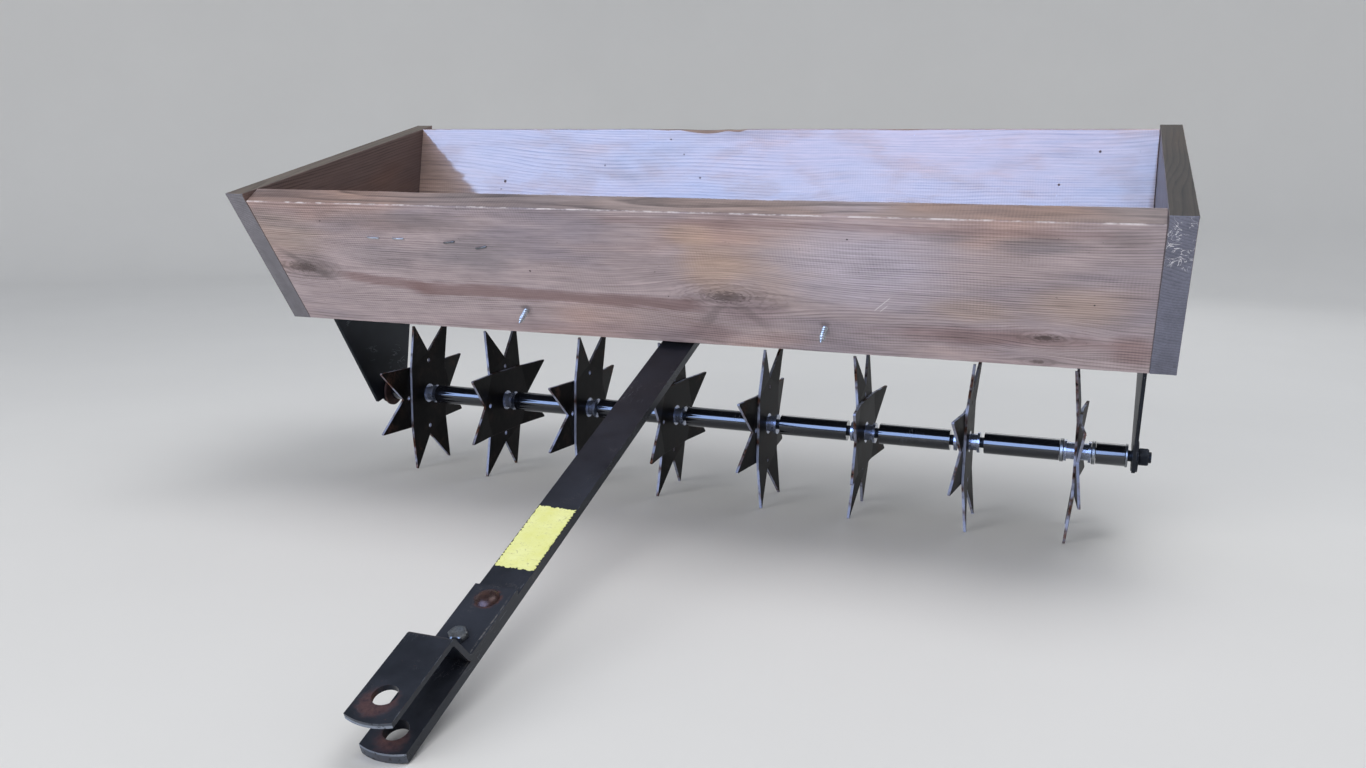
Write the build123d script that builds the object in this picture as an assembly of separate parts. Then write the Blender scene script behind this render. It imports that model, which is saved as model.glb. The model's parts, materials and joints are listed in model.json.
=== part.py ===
# Tow-behind spike aerator with a home-made weight box, standing parked on its wheels and hitch.
# Millimetres. Building frame: X across the machine from the left end board's outer face,
# Y backwards from the front board's top outer edge, Z up from the boards' bottom outer edges.
# place() then tips it nose-down on to its hitch and moves it to the stored frame.
import os
from math import asin, atan2, cos, degrees, hypot, radians, sin, tan

from build123d import *

os.makedirs("parts", exist_ok=True)

# Weight box
inner_length = 1000.0
board_width = 184.0
board_thick = 25.0
board_lean = 22.5
box_depth = 413.4

# Steel tray inside the box
sheet = 2.5
tray_wall = 70.0
bend_in = 3.0

# End plates
plate_thick = 4.0
plate_inset = 10.0
plate_slope = 21.4
plate_drop = 161.0
plate_rise = 60.0
lug_radius = 17.0

# Axle and spacer tubes
axle_drop = 157.5
axle_dia = 12.7
running = 0.06
spacer_dia = 25.4
hub_gap = 5.0
plate_gap = 7.0
axle_over = 17.0

# Spike wheels
wheel_count = 8
end_bay = 58.5
tip_radius = 110.5
tine_angle = 22.5
notch_radius = 59.0
bend_radius = 55.0
splay = 6.0
tine_sheet = 3.0
tip_flat = 2.0
hole_across = 6.5
hole_edge = 1.5
hub_dia = 20.0
hub_length = 30.0
flange_dia = 25.0
flange_thick = 3.0

# Tongue: a flat bar, level under the tray, then sloping down to the hitch
bar_width = 39.0
bar_thick = 9.0
tongue_slope = 6.6
tongue_bend_y = 114.0
tongue_rear = 318.0
tongue_front = 547.0
pin_at = 525.0
pin_dia = 19.5
nose_radius = 50.0

# Hitch strap: a foot bolted on the tongue, a leaning web and the upper jaw
strap_thick = 4.8
foot_rear = 368.0
web_foot = 450.0
web_top = 464.0
jaw_gap = 29.2
jaw_front = 551.5

# Sizes that follow from those above
box_length = inner_length + 2 * board_thick
mid_x = box_length / 2
mid_y = box_depth / 2
inner_left = board_thick
inner_right = box_length - board_thick
tray_left = inner_left + plate_thick
tray_right = inner_right - plate_thick
lean = radians(board_lean)
slope = radians(tongue_slope)
run = board_width * sin(lean)
rise = board_width * cos(lean)
box_height = rise + board_thick * sin(lean)
axle_r = axle_dia / 2
bore_r = axle_r + running
wheel_pitch = (tray_right - tray_left - 2 * end_bay) / (wheel_count - 1)
wheel_xs = [tray_left + end_bay + k * wheel_pitch for k in range(wheel_count)]
tine_half = radians(tine_angle)
tip_u = tip_radius * cos(tine_half)
tip_v = tip_radius * sin(tine_half)
hole_radius = tip_v + hole_edge + hole_across / 2


def slab(points, x0, x1):
    """A prism along X over a closed outline of (y, z) points."""
    outline = Polyline([(x0, y, z) for y, z in points], close=True)
    return extrude(make_face(outline), amount=x1 - x0, dir=(1, 0, 0))


def rod(radius, x0, x1):
    """A round bar along X on the axle's line."""
    plane = Plane(origin=(x0, mid_y, -axle_drop), x_dir=(0, 1, 0), z_dir=(1, 0, 0))
    return extrude(plane * Circle(radius), amount=x1 - x0)


def mirror_y(points):
    """The outline turned front to back about the box's middle."""
    return [(box_depth - y, z) for y, z in reversed(points)]


def board_point(up, deep):
    """(y, z) on the leaning front board, up from its bottom edge and deep from its outer face."""
    return (run - up * sin(lean) + deep * cos(lean), up * cos(lean) + deep * sin(lean))


def strip(path, thick):
    """Closed outline of a bent strip: the path, then back along its left side, mitred at the bends."""
    side = []
    for i, (a, h) in enumerate(path):
        turns = []
        for j in (i - 1, i):
            if 0 <= j < len(path) - 1:
                da, dh = path[j + 1][0] - path[j][0], path[j + 1][1] - path[j][1]
                turns.append((-dh / hypot(da, dh), da / hypot(da, dh)))
        (na, nh), (ma, mh) = turns[0], turns[-1]
        share = thick / (1 + na * ma + nh * mh)
        side.append((a + (na + ma) * share, h + (nh + mh) * share))
    return path + side[::-1]


def bend(body, x_from, inner, outer):
    """Rounds a bent strip's edges along X: inner and outer list the (y, z) of its bends."""
    for spots, radius in ((inner, bend_in), (outer, bend_in + sheet)):
        for y, z in spots:
            edge = body.edges().filter_by(Axis.X).sort_by_distance((x_from, y, z))[0]
            body = fillet(edge, radius)
    return body


# Boards: the front and back ones lean out, and the end ones are cut to them
front_outline = [board_point(0, 0), board_point(0, board_thick), board_point(board_width, board_thick),
                 board_point(board_width, 0)]
over_top = run - box_height * tan(lean)
end_outline = [(run, 0), (box_depth - run, 0), (box_depth - over_top, box_height), (over_top, box_height)]
front_board = slab(front_outline, inner_left, inner_right)
back_board = slab(mirror_y(front_outline), inner_left, inner_right)
left_board = slab(end_outline, 0, inner_left)
right_board = slab(end_outline, inner_right, box_length)

# Tray: a floor and two walls that lie on the boards, folded from one sheet
foot_y = run + board_thick / cos(lean)
wall_top = (foot_y - tray_wall * sin(lean), tray_wall * cos(lean))
tray_path = [wall_top, (foot_y, 0), (box_depth - foot_y, 0), (box_depth - wall_top[0], wall_top[1])]
tray_outline = strip(tray_path, sheet)
tray = bend(slab(tray_outline, tray_left, tray_right), mid_x, tray_outline[5:7], tray_path[1:3])

# End plates: they close the tray's ends and taper down to a lug round the axle
taper = tan(radians(plate_slope))
seat_y = foot_y + sheet / cos(lean) + 1
plate_half = [
    (foot_y + plate_inset + plate_drop * taper, -plate_drop),
    (foot_y + plate_inset, 0),
    (seat_y - sheet * tan(lean) + 1, sheet),
    (seat_y - plate_rise * tan(lean), plate_rise),
]
end_plates = []
for x0 in (inner_left, tray_right):
    plate = slab(plate_half + mirror_y(plate_half), x0, x0 + plate_thick)
    plate += rod(lug_radius, x0, x0 + plate_thick)
    end_plates.append(plate - rod(axle_r, x0 - 1, x0 + plate_thick + 1))

# Axle: a plain rod through both end plates
axle = rod(axle_r, inner_left - axle_over, inner_right + axle_over)

# Spacer tubes, tight on the axle, with a gap at each hub and end plate that bares the rod
half_hub = hub_length / 2 + hub_gap
stops = [tray_left + plate_gap, tray_right - plate_gap]
stops[1:1] = [x + side * half_hub for x in wheel_xs for side in (-1, 1)]
spacers = Compound(children=[
    rod(spacer_dia / 2, x0, x1) - rod(axle_r, x0 - 1, x1 + 1) for x0, x1 in zip(stops[::2], stops[1::2])
])


# Spike wheel: two crossed plates, each with four splayed tines, on one flanged hub.
# Its own frame: Z is the axle, the right plate's long way is X, and the plates meet at Z = 0.
def plate_blank():
    """A plate's outline seen along the axle: straight long edges, and a deep V in each end."""
    edge = atan2(tip_v, tip_u - notch_radius)
    cut = tip_flat / 2 / tan(edge / 2)
    tip = [(tip_u - cut * cos(edge), tip_v - cut * sin(edge)), (tip_u - cut, tip_v)]
    upper = [(notch_radius, 0)] + tip + [(-u, v) for u, v in reversed(tip)] + [(-notch_radius, 0)]
    outline = upper + [(u, -v) for u, v in reversed(upper[1:-1])]
    return extrude(make_face(Polyline(outline, close=True)), amount=tip_radius, both=True)


def right_plate():
    """The plate bent along four lines square to its tines, so that their tips lean away."""
    reach = tip_radius + tine_sheet
    fold = [(0, 0), (bend_radius, 0), (reach, (reach - bend_radius) * tan(radians(splay)))]
    quarter = Box(reach, reach, reach, align=(Align.MIN, Align.MIN, Align.CENTER))
    plate = None
    for turn, angle in ((0, tine_angle), (90, 180 - tine_angle), (180, 180 + tine_angle), (270, -tine_angle)):
        profile = make_face(Polyline([(r, -reach, z) for r, z in strip(fold, tine_sheet)], close=True))
        tine = Rot(0, 0, angle) * extrude(profile, amount=2 * reach, dir=(0, 1, 0))
        tine &= Rot(0, 0, turn) * quarter
        plate = tine if plate is None else plate + tine
    plate &= plate_blank()
    for side in (-1, 1):
        hole = extrude(RegularPolygon(hole_across / 2, 6), amount=tip_radius, both=True)
        plate -= Pos(side * hole_radius, 0, 0) * hole
    return plate


def spike_wheel():
    right = right_plate()
    left = Rot(0, 0, 90) * mirror(right, Plane.XY)
    hub = Cylinder(hub_dia / 2, hub_length)
    for side in (-1, 1):
        hub += Pos(0, 0, side * (hub_length - flange_thick) / 2) * Cylinder(flange_dia / 2, flange_thick)
    return right + left + hub - Cylinder(bore_r, hub_length + 2)


# Tongue and hitch strap, drawn in (a, h): a forward along the tongue's top, h square to it
nose_y, nose_z = 0.0, -tongue_bend_y * tan(slope)
tongue_plane = Plane(origin=(mid_x, nose_y, nose_z), x_dir=(0, -cos(slope), -sin(slope)),
                     z_dir=(0, -sin(slope), cos(slope)))


def along(a, h):
    """(y, z) of a point on the tongue's middle plane."""
    return (nose_y - a * cos(slope) - h * sin(slope), nose_z - a * sin(slope) + h * cos(slope))


def nose_cut(front):
    """What a bar keeps: its width, and a front rounded to a large arc with a pin hole behind."""
    length = front + tongue_rear + nose_radius
    keep = Pos(front - length / 2, 0) * Rectangle(length, bar_width)
    keep &= (Pos(front - nose_radius, 0) * Circle(nose_radius)
             + Pos(front - nose_radius - length / 2, 0) * Rectangle(length, 2 * bar_width))
    keep -= Pos(pin_at, 0) * Circle(pin_dia / 2)
    return extrude(tongue_plane * keep, amount=bar_width * 2, both=True)


left_x, right_x = mid_x - bar_width / 2, mid_x + bar_width / 2
top_path = [(tongue_rear, 0), (tongue_bend_y, 0), along(tongue_front, 0)]
tongue = slab(strip(top_path, bar_thick), left_x, right_x) & nose_cut(tongue_front)

strap_path = [(foot_rear, 0), (web_foot, 0), (web_top, jaw_gap), (jaw_front, jaw_gap)]
strap_outline = [along(a, h) for a, h in strip(strap_path, strap_thick)]
strap = bend(slab(strap_outline, left_x, right_x), mid_x,
             [strap_outline[2], strap_outline[6]], [strap_outline[1], strap_outline[5]])
strap &= nose_cut(jaw_front)

# Parked pitch: each wheel stands on two tips, and the tongue's lower front edge meets the ground
axle_height = max(plate_blank().bounding_box().max.X, 0)
low_y, low_z = along(tongue_front, -bar_thick)
park = asin(axle_height / hypot(mid_y - low_y, -axle_drop - low_z)) - atan2(-axle_drop - low_z, mid_y - low_y)
lift = axle_height - (mid_y * sin(park) - axle_drop * cos(park))


def parked(y, z):
    return (y * cos(park) - z * sin(park), y * sin(park) + z * cos(park) + lift)


rear = max(parked(box_depth - over_top, box_height)[0], parked(mid_y, -axle_drop)[0] + axle_height)
front = min(parked(*along(jaw_front, jaw_gap + strap_thick))[0], parked(low_y, low_z)[0])
shift_y = -(rear + front) / 2
axle_y = parked(mid_y, -axle_drop)[0] + shift_y


def place(shape):
    return Pos(-mid_x, shift_y, lift) * Rot(degrees(park), 0, 0) * shape


nodes = {
    "box_front_board": place(front_board),
    "box_back_board": place(back_board),
    "box_left_board": place(left_board),
    "box_right_board": place(right_board),
    "tray": place(tray),
    "left_end_plate": place(end_plates[0]),
    "right_end_plate": place(end_plates[1]),
    "axle": place(axle),
    "spacers": place(spacers),
    "tongue": place(tongue),
    "hitch_strap": place(strap),
}

# The wheels stand on two tips whatever the pitch; every other one is turned by a quarter
wheel = spike_wheel()
for k, x in enumerate(wheel_xs):
    nodes[f"wheel_{k + 1}"] = Pos(x - mid_x, axle_y, axle_height) * Rot(0, 90, 0) * Rot(0, 0, 90 * (k % 2)) * wheel

for name, shape in nodes.items():
    export_step(shape, f"parts/{name}.step")

whole = Compound(children=list(nodes.values())).bounding_box()
print("nodes", len(nodes), "park", round(degrees(park), 4), "shift_y", round(shift_y, 3), "lift", round(lift, 3))
print("low", whole.min, "high", whole.max)
print("axle y z", round(axle_y, 4), round(axle_height, 4))
for h in (-bar_thick, jaw_gap + strap_thick):
    y, z = parked(*along(pin_at, h))
    print("pin", round(y + shift_y, 4), round(z, 4))
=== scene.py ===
# Dresses the tow-behind spike aerator: weathered boards, glossy black steel, scoured spike wheels.
# Sizes are in metres. Most pieces are drawn in the machine's own frame, which is level with the
# weight box: X from the left end board, Y back from the front board's top edge, Z up from the
# boards' bottom edges. machine_frame carries that frame to where the parked machine stands.
import json
import math
from functools import reduce

import bmesh
import bpy
from mathutils import Matrix, Vector, noise


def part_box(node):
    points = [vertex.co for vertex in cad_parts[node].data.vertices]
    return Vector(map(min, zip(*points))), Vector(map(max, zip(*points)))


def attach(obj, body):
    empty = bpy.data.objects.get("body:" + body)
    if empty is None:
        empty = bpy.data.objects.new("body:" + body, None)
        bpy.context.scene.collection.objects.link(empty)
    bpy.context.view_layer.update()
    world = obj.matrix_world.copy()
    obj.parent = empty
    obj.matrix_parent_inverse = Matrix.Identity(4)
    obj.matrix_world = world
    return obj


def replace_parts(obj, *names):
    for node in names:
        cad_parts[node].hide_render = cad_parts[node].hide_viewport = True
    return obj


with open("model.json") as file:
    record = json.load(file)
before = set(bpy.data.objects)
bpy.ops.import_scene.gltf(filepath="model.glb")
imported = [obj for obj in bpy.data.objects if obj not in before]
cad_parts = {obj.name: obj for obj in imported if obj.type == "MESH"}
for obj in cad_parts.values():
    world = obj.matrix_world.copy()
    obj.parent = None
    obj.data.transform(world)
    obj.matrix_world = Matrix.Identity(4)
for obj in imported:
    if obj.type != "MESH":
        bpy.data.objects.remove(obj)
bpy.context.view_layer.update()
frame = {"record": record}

# Sizes of the machine that the pieces below are seated on
BOX_LENGTH, BOX_DEPTH = 1.050, 0.4134
BOARD_WIDTH, BOARD_THICK = 0.184, 0.025
LEAN = math.radians(22.5)
TONGUE_SLOPE, TONGUE_BEND_Y = math.radians(6.6), 0.114
TONGUE_DROP = TONGUE_BEND_Y * math.tan(TONGUE_SLOPE)
BAR_THICK, STRAP_THICK = 0.009, 0.0048
# Places down the tongue's slope from Y = 0, then the tray bolts' places in Y
CARRIAGE_BOLT_AT, HEX_BOLT_AT, PIN_AT, NOSE_FROM = 0.384, 0.431, 0.525, 0.53
FILM_AT, FILM_LENGTH, FILM_WIDTH = 0.2935, 0.090, 0.0385
TRAY_BOLTS_AT = 0.150, 0.285
# Fastenings, axle, sheet and wheels
BOLT_RADIUS, THREAD_LEAD, HEX_ACROSS = 0.0040, 0.00127, 0.0143
AXLE_Y, AXLE_Z = BOX_DEPTH / 2, -0.1575
AXLE_RADIUS, AXLE_OVER = 0.00635, 0.017
PLATE_THICK, PLATE_GAP = 0.004, 0.007
TRAY_SHEET = 0.0025
WHEEL_PITCH, HUB_END, FLANGE_RADIUS = 0.125, 0.015, 0.0125
LAST_WHEEL_X = BOX_LENGTH / 2 + 3.5 * WHEEL_PITCH
SCREWS_ALONG, SCREW_UP = (0.3225, 0.6775), 0.036

# The pitch comes from the hitch pin's line, and the place from the axle
pin_line = Vector(next(m for m in frame["record"]["mounts"] if m["name"] == "hitch_pin")["axis"])
pitch = math.atan2(-pin_line.y, pin_line.z) - TONGUE_SLOPE
axle_low, axle_high = (Vector(corner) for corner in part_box("axle"))
axle_middle = (axle_low + axle_high) / 2
machine_frame = (Matrix.Translation(axle_middle) @ Matrix.Rotation(pitch, 4, "X")
                 @ Matrix.Translation((-BOX_LENGTH / 2, -AXLE_Y, -AXLE_Z)))


def frame_of(origin, along, up):
    """A frame with X along, Y up and Z square to both, given in the machine's frame."""
    along, up = Vector(along).normalized(), Vector(up).normalized()
    columns = Matrix((along, up, along.cross(up))).transposed().to_4x4()
    return machine_frame @ Matrix.Translation(origin) @ columns


RUN = BOARD_WIDTH * math.sin(LEAN)
BOX_HEIGHT = BOARD_WIDTH * math.cos(LEAN) + BOARD_THICK * math.sin(LEAN)
front_face = frame_of((BOARD_THICK, RUN, 0), (1, 0, 0), (0, -math.sin(LEAN), math.cos(LEAN)))
back_face = frame_of((BOX_LENGTH - BOARD_THICK, BOX_DEPTH - RUN, 0), (-1, 0, 0),
                     (0, math.sin(LEAN), math.cos(LEAN)))
left_face = frame_of((0, BOX_DEPTH, 0), (0, -1, 0), (0, 0, 1))
right_face = frame_of((BOX_LENGTH, 0, 0), (0, 1, 0), (0, 0, 1))
tongue_top = frame_of((BOX_LENGTH / 2, 0, -TONGUE_DROP),
                      (0, -math.cos(TONGUE_SLOPE), -math.sin(TONGUE_SLOPE)), (1, 0, 0))
tray_floor = frame_of((BOX_LENGTH / 2, 0, TRAY_SHEET), (0, 1, 0), (-1, 0, 0))
axle_line = frame_of((0, AXLE_Y, AXLE_Z), (0, 1, 0), (0, 0, 1))
level = Matrix.Identity(4)


# ---------------------------------------------------------------- shader maths
class Shade:
    """One output of a material's nodes, so that shader maths reads as Python."""

    def __init__(self, finish, socket):
        self.finish, self.socket = finish, socket

    def math(self, operation, first, second=0.0):
        return self.finish.node("Math", {0: first, 1: second}, operation=operation)

    def __add__(self, other):
        return self.math("ADD", self, other)

    def __sub__(self, other):
        return self.math("SUBTRACT", self, other)

    def __rsub__(self, other):
        return self.math("SUBTRACT", other, self)

    def __mul__(self, other):
        return self.math("MULTIPLY", self, other)

    def __truediv__(self, other):
        return self.math("DIVIDE", self, other)

    def __pow__(self, other):
        return self.math("POWER", self, other)

    __radd__, __rmul__ = __add__, __mul__

    def sine(self):
        return self.math("SINE", self)

    def size(self):
        return self.math("ABSOLUTE", self)

    def fraction(self):
        return self.math("FRACT", self)

    def most(self, other):
        return self.math("MAXIMUM", self, other)

    def rise(self, low, high):
        """0 below low and 1 above high, smooth between; falls when low is above high."""
        if low > high:
            return 1 - self.rise(high, low)
        return self.finish.node("MapRange", {0: self, 1: low, 2: high}, interpolation_type="SMOOTHSTEP")


class Finish:
    """A material. Constants go straight on its shader, and what varies is worked out by nodes."""

    def __init__(self, name, **constants):
        self.material = bpy.data.materials.new(name)
        self.material.use_nodes = True
        self.tree = self.material.node_tree
        self.shader = next(n for n in self.tree.nodes if n.type == "BSDF_PRINCIPLED")
        self.set(**constants)
        self.place = self.node("TexCoord", output="Object")
        self.normal = self.node("NewGeometry", output="Normal")

    def node(self, kind, values=None, output=0, stops=None, **settings):
        made = self.tree.nodes.new("ShaderNode" + kind)
        for setting, value in settings.items():
            setattr(made, setting, value)
        if stops:
            ramp = made.color_ramp
            for position, colour in stops[2:]:
                ramp.elements.new(position)
            for element, (position, colour) in zip(ramp.elements, sorted(stops)):
                element.position, element.color = position, (*colour, 1)
        for socket, value in (values or {}).items():
            self.feed(made.inputs[socket], value)
        return Shade(self, made.outputs[output])

    def feed(self, socket, value):
        if isinstance(value, Shade):
            self.tree.links.new(value.socket, socket)
        elif socket.type == "RGBA" and len(value) == 3:
            socket.default_value = (*value, 1)
        else:
            socket.default_value = value

    def set(self, **values):
        for name, value in values.items():
            self.feed(self.shader.inputs[name.replace("_", " ").title().replace("Ior", "IOR")], value)

    def stretched(self, scale, where=None):
        """The place, scaled: numbers along X, Y and Z in waves per metre."""
        return self.node("VectorMath", {0: where or self.place, 1: scale}, operation="MULTIPLY")

    def noise(self, scale, detail=3.0, roughness=0.55, where=None, distortion=0.0):
        if isinstance(scale, (int, float)):
            scale = (scale, scale, scale)
        values = {"Vector": self.stretched(scale, where), "Scale": 1.0, "Detail": detail,
                  "Roughness": roughness, "Distortion": distortion}
        return self.node("TexNoise", values)

    def mix(self, mask, low, high):
        return self.node("Mix", {0: mask, 6: low, 7: high}, output=2, data_type="RGBA")

    def scaled(self, colour, factor):
        return self.node("VectorMath", {0: colour, "Scale": factor}, operation="SCALE")

    def tinted(self, mask, colour, tint):
        """The colour, multiplied by a tint where the mask is 1."""
        multiplied = self.node("VectorMath", {0: colour, 1: tint}, operation="MULTIPLY")
        return self.mix(mask, colour, multiplied)

    def ramp(self, value, *stops):
        return self.node("ValToRGB", {0: value}, stops=stops)

    def dot(self, first, second):
        return self.node("VectorMath", {0: first, 1: second}, output="Value", operation="DOT_PRODUCT")

    def along(self, seat, axis):
        """How far a point lies along one axis of a frame, in metres."""
        origin = tuple(seat.translation)
        offset = self.node("VectorMath", {0: self.place, 1: origin}, operation="SUBTRACT")
        return self.dot(offset, tuple(seat.to_3x3().col[axis].normalized()))

    def facing(self, seat, axis):
        """1 where the surface faces along one axis of a frame, -1 where it faces the other way."""
        return self.dot(self.normal, tuple(seat.to_3x3().col[axis].normalized()))

    def join(self, x, y, z):
        return self.node("CombineXYZ", {0: x, 1: y, 2: z})

    def edges(self, radius, low=0.02, high=0.35):
        """1 on edges sharper than the radius, 0 on faces."""
        soft = self.node("Bevel", {"Radius": radius}, samples=6)
        return (1 - self.dot(soft, self.normal)).rise(low, high)

    def bump(self, height, distance, strength):
        bumped = self.node("Bump", {"Height": height, "Distance": distance, "Strength": strength})
        self.set(normal=bumped)


# ---------------------------------------------------------------- finishes
RING_SPACING = 0.0032


def board_wood(name, face, pith, seed, tones, knots, wet, clouds=(), strokes=(), dots=(), contrast=1.0,
               chalk=None, pale_arris=0.0):
    """Damp softwood sawn from a log, so that faces, edges and ends each show their own figure.

    face: the board's frame, with the grain along X, its width along Y and its outer face at Z = 0
    pith: (up, out) where the log's middle runs, which decides the figure
    tones: colours of the outer face, inner face, edges and sawn ends, with painted light and shade per
    face, and a painted sky reflection on the bluish sawn ends
    knots: (along, up, radius); clouds: (along, up, reach along, reach up, strength, colour)
    strokes: (along, up, to along, to up, width, strength, colour); dots: (along, up, radius)
    wet: outer and inner face; contrast: of the grain; chalk: (out, up, reach) of curls on the sawn ends
    pale_arris: how pale the chips of the upper outer arris are
    """
    wood = Finish(name, specular_tint=(0.80, 0.88, 1.0), specular_ior_level=0.30, coat_ior=1.75,
                  coat_roughness=0.10, coat_tint=(0.97, 0.98, 1.0))
    u, v, w = (wood.along(face, axis) for axis in range(3))
    shifted = u + seed
    solid = wood.join(shifted, v, w)
    wander = wood.noise((1.2, 5, 5), 2, where=solid) - 0.5
    sway = wood.noise((2.6, 3, 3), 2, where=wood.join(shifted + 7.0, v, w)) - 0.5
    flow, cores, halos = v, [], []
    for at, up, radius in knots:
        du, dv = (u - at) / 2.8, v - up
        reach = (du * du + dv * dv) ** 0.5
        flow = flow - dv * reach.rise(radius * 6.0, radius * 0.7) * 0.78
        ragged = reach + (wood.noise((190, 460, 460), 4, 0.65, where=solid) - 0.5) * radius * 2.6
        calm = reach + (wood.noise((50, 120, 120), 2, where=solid) - 0.5) * radius * 1.6
        swirl = (calm * (math.tau / 0.0046)).sine().rise(-0.3, 0.8)
        cores.append(ragged.rise(radius * 1.0, radius * 0.45))
        halos.append(ragged.rise(radius * 3.4, radius * 0.6) * (swirl * 0.8 + 0.2))
    core, halo = reduce(Shade.most, cores), reduce(Shade.most, halos)
    up_log, out_log = flow + wander * 0.060 - pith[0], w + sway * 0.030 - pith[1]
    ring = (up_log * up_log + out_log * out_log) ** 0.5
    phase = ring / RING_SPACING + wood.noise((0.8, 22, 22), 2, where=solid) * 3.5
    part = phase.fraction()
    late = part ** 3.0 * part.rise(1.0, 0.86)
    fibre = wood.noise((20, 640, 560), 5, 0.72, wood.join(shifted, ring, w))
    thread = wood.noise((7, 300, 300), 4, 0.65, wood.join(shifted + 2.3, ring, w))
    patch = wood.noise((3.0, 8, 8), 4, 0.6, wood.join(shifted + 3.1, v, w))
    warmth = wood.noise((2.2, 7, 7), 3, 0.55, wood.join(shifted + 5.7, v, w))
    blotch = wood.noise((14, 34, 34), 4, 0.6, solid)
    inside = wood.facing(face, 2).rise(-0.6, -0.8)
    edge_face = wood.facing(face, 1).size().rise(0.7, 0.85)
    sawn_end = wood.facing(face, 0).size().rise(0.55, 0.75)
    # The tones differ face by face as lit and shaded copies of one wood: painted light and shade, and a
    # painted sky reflection on the bluish sawn ends
    outer_tone, inner_tone_shaded, edge_tone_shaded, end_tone_with_sheen = tones
    colour = wood.mix(inside, outer_tone, inner_tone_shaded)
    colour = wood.mix(edge_face, colour, edge_tone_shaded)
    colour = wood.tinted(warmth.rise(0.48, 0.68), colour, (1.16, 0.98, 0.84))
    colour = wood.tinted(patch.rise(0.48, 0.68), colour, (0.74, 0.78, 0.85))
    for at, up, reach_along, reach_up, strength, tint in clouds:
        du, dv = (u - at) / reach_along, (v - up) / reach_up
        edge = (du * du + dv * dv) ** 0.5 + (blotch - 0.5) * 0.9
        colour = wood.mix(edge.rise(1.15, 0.25) * strength, colour, tint)
    depth = wood.noise((2.4, 18, 18), 3, 0.5, wood.join(shifted + 6.1, v, w))
    depth = depth.rise(0.36, 0.62) * 0.60 + 0.26
    figure = 0.15 - late * depth + (thread - 0.5) * 0.80 + (fibre - 0.5) * 1.35 + (blotch - 0.5) * 0.60
    figure = figure * contrast + 1
    saw = (u * (math.tau / 0.0032) + wood.noise((5, 24, 24), 2, where=solid) * 9.0).sine()
    sawn = saw * wood.noise((4.0, 10, 10), 2, where=wood.join(shifted + 8.8, v, w)).rise(0.46, 0.60)
    colour = wood.scaled(colour, figure + sawn * 0.06)
    end_arcs = 0.95 - late * 0.35 + (wood.noise(520, 3) - 0.5) * 0.5 + (wood.noise(60, 4) - 0.5) * 0.5
    colour = wood.mix(sawn_end, colour, wood.scaled(end_tone_with_sheen, end_arcs))
    for at, up, to_along, to_up, width, strength, tint in strokes:
        line = (v - up - (u - at) * ((to_up - up) / (to_along - at))).size()
        ragged = line + (thread - 0.5) * width * 1.2 + (blotch - 0.5) * width * 1.2
        ends = u.rise(at - width, at + width * 2) * u.rise(to_along + width, to_along - width * 2)
        colour = wood.mix(ragged.rise(width, width * 0.35) * ends * strength, colour, tint)
    colour = wood.mix(halo * 0.40, colour, (0.110, 0.078, 0.070))
    colour = wood.mix(core * (thread.rise(0.36, 0.60) * 0.35 + 0.46), colour, (0.060, 0.040, 0.034))
    pits = []
    for at, up, radius in dots:
        du, dv = u - at, v - up
        pits.append(((du * du + dv * dv) ** 0.5 + (blotch - 0.5) * radius).rise(radius, radius * 0.6))
    if pits:
        colour = wood.mix(reduce(Shade.most, pits) * 0.85, colour, (0.045, 0.035, 0.036))
    speck = wood.noise(150, 4, 0.65)
    colour = wood.mix(speck.rise(0.66, 0.76) * 0.45, colour, (0.060, 0.048, 0.046))
    colour = wood.mix(speck.rise(0.30, 0.22) * 0.35, colour, (0.55, 0.50, 0.48))
    worn = wood.edges(0.0018, 0.05, 0.4) * wood.noise((40, 200, 200), 3).rise(0.46, 0.62)
    colour = wood.mix(worn * 0.45, colour, (0.46, 0.40, 0.38))
    if pale_arris:
        near = ((v - BOARD_WIDTH) ** 2.0 + w * w) ** 0.5
        broken = wood.noise((26, 60, 60), 4, 0.7, wood.join(shifted + 1.4, v, w))
        chip = near.rise(0.0017, 0.0007) * broken.rise(0.45, 0.58)
        colour = wood.mix(chip * pale_arris, colour, (0.74, 0.68, 0.70))
    if chalk:
        at, up, reach = chalk
        du, dv = (w - at) / reach, (v - up) / reach
        zone = (du * du * 2.0 + dv * dv * 0.6) ** 0.5
        curl = (wood.noise(80, 2, 0.5, distortion=1.6) - 0.5).size().rise(0.020, 0.007)
        curl = curl * wood.noise(90, 2).rise(0.42, 0.52)
        colour = wood.mix(curl * zone.rise(1.2, 0.6) * sawn_end * 0.9, colour, (0.74, 0.73, 0.78))
    damp = (inside * (wet[1] - wet[0]) + wet[0]) * (1 - sawn_end.most(edge_face) * 0.8)
    dried = late * 0.30 + blotch.rise(0.46, 0.66) * 0.22
    damp = damp * wood.noise((4, 12, 12), 3).rise(0.10, 0.45) * (1.06 - dried)
    if pits:
        damp = damp * (1 - reduce(Shade.most, pits))
    wood.set(base_color=colour, roughness=0.66 - damp * 0.34 + fibre * 0.10, coat_weight=damp)
    relief = 0.5 - late * 0.5 + fibre * 0.5 + sawn * 0.25 + (thread - 0.5) * 0.5
    wood.bump(relief * (1 - damp * 0.75), 0.0005, 0.55)
    return wood.material


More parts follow.
